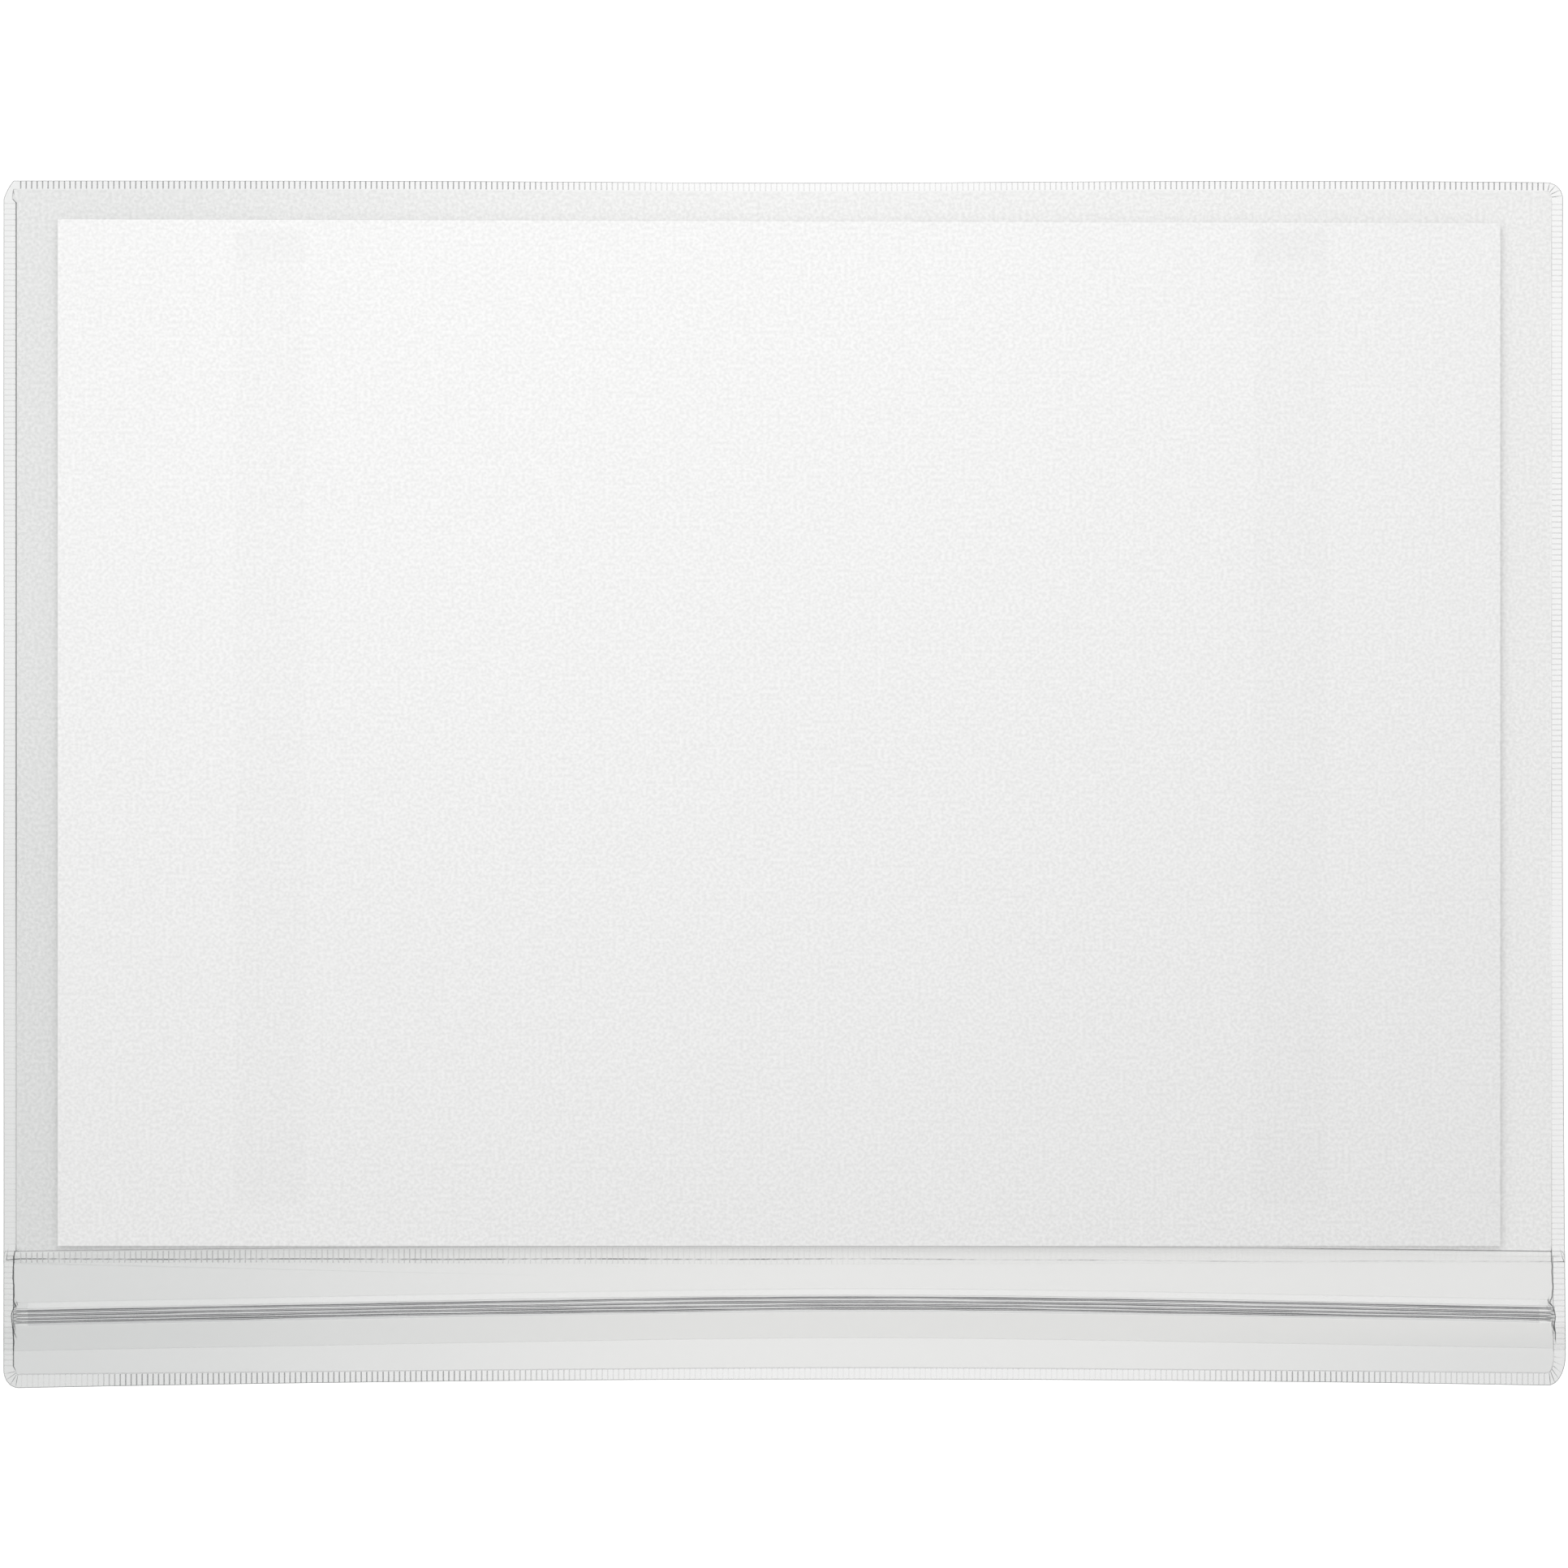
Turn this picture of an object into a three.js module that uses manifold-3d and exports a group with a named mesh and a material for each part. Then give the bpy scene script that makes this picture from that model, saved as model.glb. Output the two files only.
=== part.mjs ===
import * as THREE from "three";
import { mergeVertices } from "three/addons/utils/BufferGeometryUtils.js";
import Module from "manifold-3d";

const wasm = await Module();
wasm.setup();

// Clear press-zip pocket for one A4 sheet, lying on its two magnet strips.
// X runs along the length, Y towards the top edge, Z up out of the front. Millimetres.

// Outline of the pocket
const POCKET_WIDTH = 321;
const POCKET_HEIGHT = 248;
const CORNER_RADIUS = 3.5;
const LOWER_EDGE_BOW = 1.6;

// Thickness of each material
const FILM = 0.25;
const PAPER = 0.12;
const MAGNET = 1.2;
const TAPE = 0.15;

// Heat welds
const SIDE_WELD = 2.6;
const TOP_WELD = 2;
const WELD_PRESS = 0.05;
const WELD_RISE = 1.5;

// Seam where the front film is welded onto the front strip of the zip.
// Heights named UP are measured from the lower corners of the pocket.
const SEAM_UP = 28.4;
const SEAM_BOW = 0.7;
const SEAM_WELD = 2.6;
const SEAM_RISE = 8;
const SEAM_MARGIN = 0.5;

// Press-to-close zip: two strips that hook into each other
const ZIP_UP = 14.7;
const ZIP_BOW = 2.8;
const LIP_UP = 7.9;
const LIP_BOW = 2.3;
const LIP_LIFT = 0.4;
const RAIL_SPACING = 0.75;
const RAIL_HEIGHT = 0.7;
const WALL = 0.3;
const PRONG = 0.26;
const HOOK_THICK = 0.2;
const HOOK_OVERLAP = 0.25;
const ZIP_CLEARANCE = 0.1;
const RAIL_ROOT = 0.05;
const ZIP_LAND = 2.2;
const CRUSH_LENGTH = 2;

// Loose A4 sheet, which lies a little to the left
const SHEET_WIDTH = 297;
const SHEET_HEIGHT = 210;
const SHEET_SHIFT = -0.9;
const SHEET_UP = 29.5;
const SHEET_CLEARANCE = 0.13;

// Magnet strips and the tape that holds them to the back
const MAGNET_WIDTH = 15;
const MAGNET_LENGTH = 200;
const MAGNET_SPACING = 209.6;
const MAGNET_CENTRE = 13.7;
const TAPE_SHORT = 6.5;

// Mesh steps
const BOW_STEPS = 16;
const RISE_STEPS = 3;

// Levels up through the layers
const HALF_WIDTH = POCKET_WIDTH / 2;
const HALF_HEIGHT = POCKET_HEIGHT / 2;
const BACK_UNDER = MAGNET + TAPE;
const BACK_TOP = BACK_UNDER + FILM;
const REAR_TOP = BACK_TOP + FILM;
const SEAM_TOP = REAR_TOP + FILM;
const FILM_PLATEAU = BACK_TOP + PAPER + SHEET_CLEARANCE;
const LAND_UNDER = REAR_TOP + RAIL_HEIGHT + ZIP_CLEARANCE;
const SIDE_WELD_INNER = HALF_WIDTH - SIDE_WELD;
const TOP_WELD_INNER = HALF_HEIGHT - TOP_WELD;
const RAIL_END = SIDE_WELD_INNER - CRUSH_LENGTH;
const SHEET_CENTRE = SHEET_UP - HALF_HEIGHT + SHEET_HEIGHT / 2;

// A line across the pocket that curves up at mid length
const bowed = (x, up, bow) => up - HALF_HEIGHT + bow * (1 - (x / HALF_WIDTH) ** 2);
const seamTopLine = (x) => bowed(x, SEAM_UP, SEAM_BOW);
const seamFootLine = (x) => seamTopLine(x) - SEAM_WELD;
const zipLine = (x) => bowed(x, ZIP_UP, ZIP_BOW);
const lipLine = (x) => bowed(x, LIP_UP, LIP_BOW);

// Even stations from one value to another, without the first
function stations(from, to, count) {
  const step = (to - from) / count;
  return Array.from({ length: count }, (_, i) => from + step * (i + 1));
}

function toSolid(geometry) {
  const bare = geometry.clone();
  bare.deleteAttribute("normal");
  bare.deleteAttribute("uv");
  const merged = mergeVertices(bare, 1e-4);
  const mesh = new wasm.Mesh({
    numProp: 3,
    vertProperties: merged.attributes.position.array,
    triVerts: new Uint32Array(merged.index.array),
  });
  return new wasm.Manifold(mesh);
}

function toMesh(name, solid, material) {
  const { vertProperties, triVerts } = solid.getMesh();
  const geometry = new THREE.BufferGeometry();
  geometry.setAttribute("position", new THREE.BufferAttribute(vertProperties, 3));
  geometry.setIndex(new THREE.BufferAttribute(triVerts, 1));
  geometry.computeVertexNormals();
  const mesh = new THREE.Mesh(geometry, material);
  mesh.name = name;
  return mesh;
}

// A closed sheet over a grid: place(x, row, isTop) says where each grid point lies
function sheet(columns, rowCount, place) {
  const across = columns.length - 1;
  const box = new THREE.BoxGeometry(1, 1, 1, across, rowCount - 1, 1);
  const points = box.attributes.position;
  for (let i = 0; i < points.count; i += 1) {
    const x = columns[Math.round((points.getX(i) + 0.5) * across)];
    const row = Math.round((0.5 - points.getY(i)) * (rowCount - 1));
    const [y, z] = place(x, row, points.getZ(i) > 0);
    points.setXYZ(i, x, y, z);
  }
  return toSolid(box);
}

// Outline shared by everything that is welded at the edge
function outlineShape() {
  const left = -HALF_WIDTH;
  const foot = -HALF_HEIGHT;
  const r = CORNER_RADIUS;
  const shape = new THREE.Shape();
  shape.moveTo(left + r, foot);
  shape.quadraticCurveTo(0, foot + 2 * LOWER_EDGE_BOW, -left - r, foot);
  shape.absarc(-left - r, foot + r, r, -Math.PI / 2, 0);
  shape.absarc(-left - r, -foot - r, r, 0, Math.PI / 2);
  shape.absarc(left + r, -foot - r, r, Math.PI / 2, Math.PI);
  shape.absarc(left + r, foot + r, r, Math.PI, Math.PI * 1.5);
  return shape;
}

function outlinePrism(under, top) {
  const settings = { depth: top - under, bevelEnabled: false, curveSegments: BOW_STEPS / 2 };
  return toSolid(new THREE.ExtrudeGeometry(outlineShape(), settings).translate(0, 0, under));
}

// Grid columns over the whole length: both side welds, the rise beside them and the middle
function columnsOver(rise) {
  const riseEnd = SIDE_WELD_INNER - rise;
  const left = [-HALF_WIDTH, -SIDE_WELD_INNER, ...stations(-SIDE_WELD_INNER, -riseEnd, RISE_STEPS)];
  const middle = stations(-riseEnd, riseEnd, BOW_STEPS).slice(0, -1);
  return [...left, ...middle, ...left.map((x) => -x).reverse()];
}

// 0 at the weld line and 1 once the film has risen from it
const risen = (distance, length) => THREE.MathUtils.smoothstep(distance, 0, length);

// Front film: flat weld band on three sides, low rise over the sheet, flat seam at the foot
function frontFilm() {
  const columns = columnsOver(WELD_RISE);
  const seamFlat = seamTopLine(0) + SEAM_MARGIN;
  const rows = [
    HALF_HEIGHT,
    TOP_WELD_INNER,
    ...stations(TOP_WELD_INNER, TOP_WELD_INNER - WELD_RISE, RISE_STEPS),
    seamFlat + SEAM_RISE,
    ...stations(seamFlat + SEAM_RISE, seamFlat, RISE_STEPS),
  ];
  const body = sheet(columns, rows.length + 1, (x, row, isTop) => {
    const isFoot = row === rows.length;
    const y = isFoot ? seamFootLine(x) : rows[row];
    const inFromSides = risen(SIDE_WELD_INNER - Math.abs(x), WELD_RISE);
    const inFromTop = risen(TOP_WELD_INNER - y, WELD_RISE);
    const inside = inFromSides * inFromTop;
    const overSheet = THREE.MathUtils.lerp(BACK_TOP, FILM_PLATEAU, inside);
    const toSeam = risen(seamFlat + SEAM_RISE - y, SEAM_RISE);
    const under = THREE.MathUtils.lerp(overSheet, SEAM_TOP, toSeam);
    const pressed = WELD_PRESS * Math.max(1 - inside, toSeam);
    return [y, isTop ? under + FILM - pressed : under];
  });
  return body.intersect(outlinePrism(BACK_UNDER, SEAM_TOP + 2 * FILM));
}

// A rail of the zip: its cross section, as [across, up] points, swept along the curved zip line
function rail(points) {
  const shape = new THREE.Shape(points.map(([across, up]) => new THREE.Vector2(across, up)));
  const length = 2 * RAIL_END;
  const swept = new THREE.ExtrudeGeometry(shape, { depth: length, steps: BOW_STEPS, bevelEnabled: false });
  const at = swept.attributes.position;
  for (let i = 0; i < at.count; i += 1) {
    const x = at.getZ(i) - RAIL_END;
    at.setXYZ(i, x, zipLine(x) + at.getX(i), at.getY(i));
  }
  return toSolid(swept);
}

// Mirrors a cross section to the other side of the zip line, keeping its direction of travel
const mirrored = (points) => points.map(([across, up]) => [-across, up]).reverse();

// Wall of the receiving channel, with a hook that leans inwards at its top
function wallSection() {
  const outer = RAIL_SPACING * 1.5 + WALL / 2;
  const inner = outer - WALL;
  const root = REAR_TOP - RAIL_ROOT;
  const top = REAR_TOP + RAIL_HEIGHT;
  const tip = RAIL_SPACING / 2 + PRONG / 2 + ZIP_CLEARANCE;
  return [
    [inner, root],
    [outer, root],
    [outer, top - HOOK_THICK / 2],
    [outer - HOOK_THICK / 2, top],
    [tip + HOOK_THICK / 2, top],
    [tip, top - HOOK_THICK],
    [inner, top - HOOK_THICK],
  ];
}

// Prong of the pressing rail, with a barb that leans outwards at its foot
function prongSection() {
  const inner = RAIL_SPACING / 2 - PRONG / 2;
  const outer = inner + PRONG;
  const root = LAND_UNDER + RAIL_ROOT;
  const foot = REAR_TOP + ZIP_CLEARANCE;
  const barbTop = REAR_TOP + RAIL_HEIGHT - HOOK_THICK - ZIP_CLEARANCE;
  const barbTip = outer + ZIP_CLEARANCE + HOOK_OVERLAP;
  return [
    [inner, root],
    [inner, foot],
    [outer, foot],
    [barbTip, barbTop - HOOK_THICK / 2],
    [barbTip, barbTop],
    [outer, barbTop],
    [outer, root],
  ];
}

// Rear strip: lies on the back film from the seam down to the lower edge and carries the channel
function zipRearStrip() {
  const strip = sheet(columnsOver(CRUSH_LENGTH), 2, (x, row, isTop) => [
    row === 0 ? seamTopLine(x) : -HALF_HEIGHT,
    isTop ? REAR_TOP : BACK_TOP,
  ]);
  return strip
    .intersect(outlinePrism(BACK_TOP, REAR_TOP))
    .add(rail(wallSection()))
    .add(rail(mirrored(wallSection())));
}

// Front strip: welded at the seam and the sides, lifted over the zip, with a free lip below
function zipFrontStrip() {
  const between = (t) => (x) => THREE.MathUtils.lerp(seamFootLine(x), zipLine(x) + ZIP_LAND, t);
  const rising = stations(0, 1, RISE_STEPS).map((t) => [between(t), risen(t, 1)]);
  const lines = [
    [seamTopLine, 0],
    [seamFootLine, 0],
    ...rising,
    [(x) => zipLine(x) - ZIP_LAND, 1],
    [lipLine, LIP_LIFT],
  ];
  const strip = sheet(columnsOver(CRUSH_LENGTH), lines.length, (x, row, isTop) => {
    const [line, lift] = lines[row];
    const freeOfWeld = risen(SIDE_WELD_INNER - Math.abs(x), CRUSH_LENGTH);
    const under = THREE.MathUtils.lerp(REAR_TOP, LAND_UNDER, lift * freeOfWeld);
    return [line(x), isTop ? under + FILM : under];
  });
  return strip.add(rail(prongSection())).add(rail(mirrored(prongSection())));
}

function insertSheet() {
  const box = new THREE.BoxGeometry(SHEET_WIDTH, SHEET_HEIGHT, PAPER);
  return toSolid(box.translate(SHEET_SHIFT, SHEET_CENTRE, BACK_TOP + PAPER / 2));
}

function magnetStrip(side) {
  const box = new THREE.BoxGeometry(MAGNET_WIDTH, MAGNET_LENGTH, MAGNET);
  return toSolid(box.translate((side * MAGNET_SPACING) / 2, MAGNET_CENTRE, MAGNET / 2));
}

function adhesiveTape(side) {
  const box = new THREE.BoxGeometry(MAGNET_WIDTH, MAGNET_LENGTH - TAPE_SHORT, TAPE);
  const centre = MAGNET_CENTRE - TAPE_SHORT / 2;
  return toSolid(box.translate((side * MAGNET_SPACING) / 2, centre, MAGNET + TAPE / 2));
}

const grained = new THREE.MeshStandardMaterial({
  name: "grained_film",
  color: 0xe9edee,
  roughness: 0.45,
  metalness: 0,
  transparent: true,
  opacity: 0.45,
});
const smooth = new THREE.MeshStandardMaterial({
  name: "clear_film",
  color: 0xe4eaec,
  roughness: 0.2,
  metalness: 0,
  transparent: true,
  opacity: 0.4,
});
const paper = new THREE.MeshStandardMaterial({
  name: "white_paper",
  color: 0xf4f4f1,
  roughness: 0.9,
  metalness: 0,
});
const magnetic = new THREE.MeshStandardMaterial({
  name: "magnet_rubber",
  color: 0x2c2a29,
  roughness: 0.75,
  metalness: 0,
});
const sticky = new THREE.MeshStandardMaterial({
  name: "white_tape",
  color: 0xdedbd3,
  roughness: 0.6,
  metalness: 0,
});

const group = new THREE.Group();
group.name = "magnetic_document_pocket";
group.add(
  toMesh("back_film", outlinePrism(BACK_UNDER, BACK_TOP), smooth.clone()),
  toMesh("front_film", frontFilm(), grained),
  toMesh("zip_front_strip", zipFrontStrip(), smooth.clone()),
  toMesh("zip_rear_strip", zipRearStrip(), smooth.clone()),
  toMesh("insert_sheet", insertSheet(), paper),
  toMesh("magnet_strip_left", magnetStrip(-1), magnetic.clone()),
  toMesh("magnet_strip_right", magnetStrip(1), magnetic.clone()),
  toMesh("adhesive_tape_left", adhesiveTape(-1), sticky.clone()),
  toMesh("adhesive_tape_right", adhesiveTape(1), sticky.clone()),
);

export default group;
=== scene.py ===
import math

import bpy
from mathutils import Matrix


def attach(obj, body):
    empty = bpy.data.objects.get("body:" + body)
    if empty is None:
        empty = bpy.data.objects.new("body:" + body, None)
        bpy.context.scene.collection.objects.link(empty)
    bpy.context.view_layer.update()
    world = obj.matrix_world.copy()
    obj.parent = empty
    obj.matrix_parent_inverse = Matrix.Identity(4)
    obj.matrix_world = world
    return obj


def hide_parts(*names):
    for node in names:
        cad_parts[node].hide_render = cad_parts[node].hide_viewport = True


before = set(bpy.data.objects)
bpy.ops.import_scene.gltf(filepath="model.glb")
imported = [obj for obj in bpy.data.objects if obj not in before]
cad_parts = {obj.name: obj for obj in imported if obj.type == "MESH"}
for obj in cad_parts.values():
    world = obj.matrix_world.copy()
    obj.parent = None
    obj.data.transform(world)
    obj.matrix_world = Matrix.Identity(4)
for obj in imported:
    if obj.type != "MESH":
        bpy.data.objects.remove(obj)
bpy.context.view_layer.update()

# Magnetic document pocket lying on its two magnet strips, seen from straight above.
# Lengths are millimetres in the frame of the part: X right, Y towards the top edge, Z up.
MM = 0.001

# Levels of the layers from the magnet strips up, with the hair of air that keeps two films apart
AIR = 0.02
FILM = 0.23
BAR_HEIGHT = 1.2
TAPE_HEIGHT = 0.15
PAPER = 0.1
PAPER_ROOM = 0.25
LAND_LIFT = 0.8
BACK_UNDER = BAR_HEIGHT + TAPE_HEIGHT + AIR
BACK_TOP = BACK_UNDER + FILM - AIR
REAR_UNDER = BACK_TOP + AIR
REAR_TOP = REAR_UNDER + FILM
STRIP_UNDER = REAR_TOP + AIR
STRIP_TOP = STRIP_UNDER + FILM
SEAM_UNDER = STRIP_TOP + AIR
PANEL_UNDER = BACK_TOP + PAPER_ROOM
PAPER_UNDER = BACK_TOP + AIR

# Weld bands, with their ticks across and the line along their inner side
TICK_PITCH = 1.125
TICK_WIDTH = 0.28
LINE_HALF = 0.12
SIDE_WELD = 2.55
TOP_WELD = 1.95
EDGE_BEVEL = 0.16
DEEPEST_GROOVE = 0.18

# Outline of the pocket, which bows slightly along each side
HALF_WIDTH = 160.25
TOP_Y = 123.97
FOOT_Y = -122.32
CORNER_Y = 120.2
LOWER_CORNER_Y = -118
SEAM_Y = -98


def left_edge(y):
    return -HALF_WIDTH + 0.02 * math.sin(y / 17)


def right_edge(y):
    return HALF_WIDTH - 0.28 + 0.6 * ((44 - y) / 150) ** 2


def top_edge(x):
    dip = 0.45 * math.exp(-(((x - 5) / 60) ** 2))
    fall = 0.4 * (max(x - 90, 0) / 70) ** 2
    return TOP_Y - dip - fall


def foot_edge(x):
    return FOOT_Y - 6.1e-5 * (x - 14) ** 2


def tent(x):
    """0 a little right of the middle, falling evenly towards both ends."""
    return 30 - math.hypot(x - 15, 30)


def seam_top(x):
    return -94.85 - 1.05 * (x / HALF_WIDTH) ** 2


def seam_foot(x):
    return -98.45 - 0.15 * math.cos(x / 40)


def seam_dash(x):
    return -97.55 - 0.45 * smooth(20, 100, x) + 0.05 * math.sin(x / 9)


def zip_line(x):
    return -106.5 + 0.0205 * tent(x) - 0.12 * math.exp(-((x / 50) ** 2))


def lip_line(x):
    return -113.75 + 0.0185 * tent(x)


def foot_weld(x):
    return -119.75 + 0.0095 * tent(x)


def smooth(a, b, v):
    t = min(max((v - a) / (b - a), 0), 1)
    return t * t * (3 - 2 * t)


def mix(a, b, t):
    return a + (b - a) * t


def groove(strength, half):
    """Depth of a groove of this half width, whose sides are steeper, and so darker through the films' painted
    shade on steep faces, with more strength.
    """
    if strength <= 0.01:
        return 0.0
    flat = 0.86 - 0.38 * min(strength, 1)
    return min(half * math.sqrt(1 - flat * flat) / flat, DEEPEST_GROOVE)


def wobble(t, seed=0.0):
    """A slow irregular wave between about -1 and 1."""
    slow = math.sin(t + seed) + 0.6 * math.sin(2.3 * t + 1.7 * seed + 1)
    return (slow + 0.4 * math.sin(5.1 * t + seed * 3)) / 1.6


# Materials


def new_material(name):
    mat = bpy.data.materials.new(name)
    mat.use_nodes = True
    mat.node_tree.nodes.clear()
    return mat, mat.node_tree


def node(tree, kind, **values):
    made = tree.nodes.new(kind)
    for key, value in values.items():
        setattr(made, key, value)
    return made


def math_node(tree, operation, a, b=None, clamp=False):
    made = node(tree, "ShaderNodeMath", operation=operation, use_clamp=clamp)
    for socket, value in zip(made.inputs, (a, b)):
        if value is None:
            continue
        if isinstance(value, (int, float)):
            socket.default_value = value
        else:
            tree.links.new(value, socket)
    return made.outputs[0]


def noise(tree, coords, scale, detail):
    made = node(tree, "ShaderNodeTexNoise")
    made.inputs["Scale"].default_value = scale
    made.inputs["Detail"].default_value = detail
    tree.links.new(coords, made.inputs["Vector"])
    return made.outputs["Fac"]


def ramp(tree, value, low, high, to_low, to_high):
    made = node(tree, "ShaderNodeMapRange", interpolation_type="SMOOTHSTEP")
    tree.links.new(value, made.inputs["Value"])
    for key, number in zip(("From Min", "From Max", "To Min", "To Max"), (low, high, to_low, to_high)):
        made.inputs[key].default_value = number
    return made.outputs["Result"]


def colour_mix(tree, factor, a, b):
    made = node(tree, "ShaderNodeMix", data_type="RGBA")
    tree.links.new(factor, made.inputs["Factor"])
    for key, value in (("A", a), ("B", b)):
        socket = [s for s in made.inputs if s.name == key and s.type == "RGBA"][0]
        if isinstance(value, tuple):
            socket.default_value = (*value, 1)
        else:
            tree.links.new(value, socket)
    return [s for s in made.outputs if s.type == "RGBA"][0]


def add_bump(tree, principled, height, strength, depth_mm):
    bump = node(tree, "ShaderNodeBump")
    bump.inputs["Strength"].default_value = strength
    bump.inputs["Distance"].default_value = depth_mm * MM
    tree.links.new(height, bump.inputs["Height"])
    tree.links.new(bump.outputs[0], principled.inputs["Normal"])


def inner_material():
    """The inner face of a clear film: light passes it almost unchanged, a little less where it is thicker."""
    mat, tree = new_material("film_inner_face")
    coords = node(tree, "ShaderNodeTexCoord")
    thickness = noise(tree, coords.outputs["Object"], 9, 0)
    clear = node(tree, "ShaderNodeBsdfTransparent")
    passed = colour_mix(tree, thickness, (0.99, 0.99, 0.988), (1, 1, 1))
    tree.links.new(passed, clear.inputs["Color"])
    out = node(tree, "ShaderNodeOutputMaterial")
    tree.links.new(clear.outputs[0], out.inputs["Surface"])
    return mat


def painted_side_shade(tree, spot):
    """Painted shade: how far a spot lies towards the left side or the lower right corner, where the film is
    painted darker for less light there, from 0 to 1.
    """
    place = node(tree, "ShaderNodeSeparateXYZ")
    tree.links.new(spot, place.inputs[0])
    left_shade = ramp(tree, place.outputs["X"], -0.17, 0.0, 1, 0)
    left_shade = math_node(tree, "MULTIPLY", left_shade, ramp(tree, place.outputs["Y"], -0.14, 0.14, 1, 0.7))
    corner_shade = ramp(tree, place.outputs["X"], 0.06, 0.15, 0, 0.45)
    corner_shade = math_node(tree, "MULTIPLY", corner_shade, ramp(tree, place.outputs["Y"], -0.118, -0.11, 1, 0))
    return math_node(tree, "ADD", left_shade, corner_shade, clamp=True)


def film_material(name, haze, middle, sides, edge=0.8, grain=0, milk=0.65):
    """Clear film: nearly see-through where it lies flat, and darker where its surface is steep, partly for
    the thicker film there and partly as painted shade.

    middle and sides are the share of light it passes in the middle of the pocket and towards its left side
    and lower right corner, where the smaller share is painted shade, or, in a grained film, in the grains and
    between them. haze is how much of the film is cloudy and milk how light that cloud is. edge is how much of
    the film is dark where it is steep, partly for the thicker film there and partly as painted shade.
    """
    mat, tree = new_material(name)
    coords = node(tree, "ShaderNodeTexCoord")
    spot = coords.outputs["Object"]
    facing = node(tree, "ShaderNodeSeparateXYZ")
    tree.links.new(coords.outputs["Normal"], facing.inputs[0])
    # 1 where the surface is steeper than 60 degrees, 0 where it is flatter than 28; steep parts are painted
    # dark and more opaque, partly for the thicker film and partly as painted shade for the dark look that
    # refraction gives clear film there
    flatness = math_node(tree, "ABSOLUTE", facing.outputs["Z"])
    steep = ramp(tree, flatness, 0.5, 0.88, 1.0, 0.0)
    cloud = noise(tree, spot, 14, 1)
    fine = noise(tree, spot, 1450, 1) if grain else cloud
    body = math_node(tree, "MULTIPLY", ramp(tree, cloud, 0.3, 0.7, 0.85, 1.15), haze)
    if grain:
        body = math_node(tree, "MULTIPLY", body, ramp(tree, fine, 0.3, 0.7, 1 - grain, 1 + grain))
    cover = math_node(tree, "ADD", body, math_node(tree, "MULTIPLY", steep, edge), clamp=True)
    cloudy = ramp(tree, cloud, 0.3, 0.7, 0, 1)
    tint = colour_mix(tree, cloudy, (milk - 0.003, milk, milk - 0.002), (milk + 0.05,) * 3)
    # painted shade: steep faces take a near-black tint
    tint = colour_mix(tree, steep, tint, (0.085, 0.09, 0.092))

    # outside a grained film, the smaller share passed towards the left side and lower right corner is painted
    # shade
    share = ramp(tree, fine, 0.28, 0.72, 0, 1) if grain else painted_side_shade(tree, spot)
    clear = node(tree, "ShaderNodeBsdfTransparent")
    tree.links.new(colour_mix(tree, share, middle, sides), clear.inputs["Color"])

    principled = node(tree, "ShaderNodeBsdfPrincipled")
    tree.links.new(tint, principled.inputs["Base Color"])
    principled.inputs["IOR"].default_value = 1.53
    smoothest, roughest = (0.34, 0.44) if grain else (0.16, 0.24)
    tree.links.new(ramp(tree, cloud, 0.3, 0.7, smoothest, roughest), principled.inputs["Roughness"])
    add_bump(tree, principled, fine, 0.5 if grain else 0.15, 0.05)

    gloss = node(tree, "ShaderNodeFresnel")
    gloss.inputs["IOR"].default_value = 1.45
    shine = math_node(tree, "MULTIPLY", gloss.outputs[0], 0.6)
    both = node(tree, "ShaderNodeMixShader")
    tree.links.new(math_node(tree, "ADD", cover, shine, clamp=True), both.inputs[0])
    tree.links.new(clear.outputs[0], both.inputs[1])
    tree.links.new(principled.outputs[0], both.inputs[2])
    out = node(tree, "ShaderNodeOutputMaterial")
    tree.links.new(both.outputs[0], out.inputs["Surface"])
    return mat


def solid_material(name, dark, light, scale, rough, bump_mm, bump_scale, extra=None):
    """Opaque surface with a soft colour variation and a fine bump; extra changes the colour further."""
    mat, tree = new_material(name)
    coords = node(tree, "ShaderNodeTexCoord")
    spot = coords.outputs["Object"]
    colour = colour_mix(tree, ramp(tree, noise(tree, spot, scale, 4), 0.3, 0.7, 0, 1), dark, light)
    if extra:
        colour = extra(tree, spot, colour)
    principled = node(tree, "ShaderNodeBsdfPrincipled")
    tree.links.new(colour, principled.inputs["Base Color"])
    grain = noise(tree, spot, bump_scale, 4)
    tree.links.new(ramp(tree, grain, 0.2, 0.8, rough - 0.06, rough + 0.06), principled.inputs["Roughness"])
    add_bump(tree, principled, grain, 0.6, bump_mm)
    out = node(tree, "ShaderNodeOutputMaterial")
    tree.links.new(principled.outputs[0], out.inputs["Surface"])
    return mat


# Magnet strips behind the sheet: X limits of each, Y limits, and how far the tape stops short of their top
STRIPS = ((-112.6, -98.25), (96.6, 111.6))
STRIP_Y = (-86.3, 113.8)
TAPE_SHORT = 6.5


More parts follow.
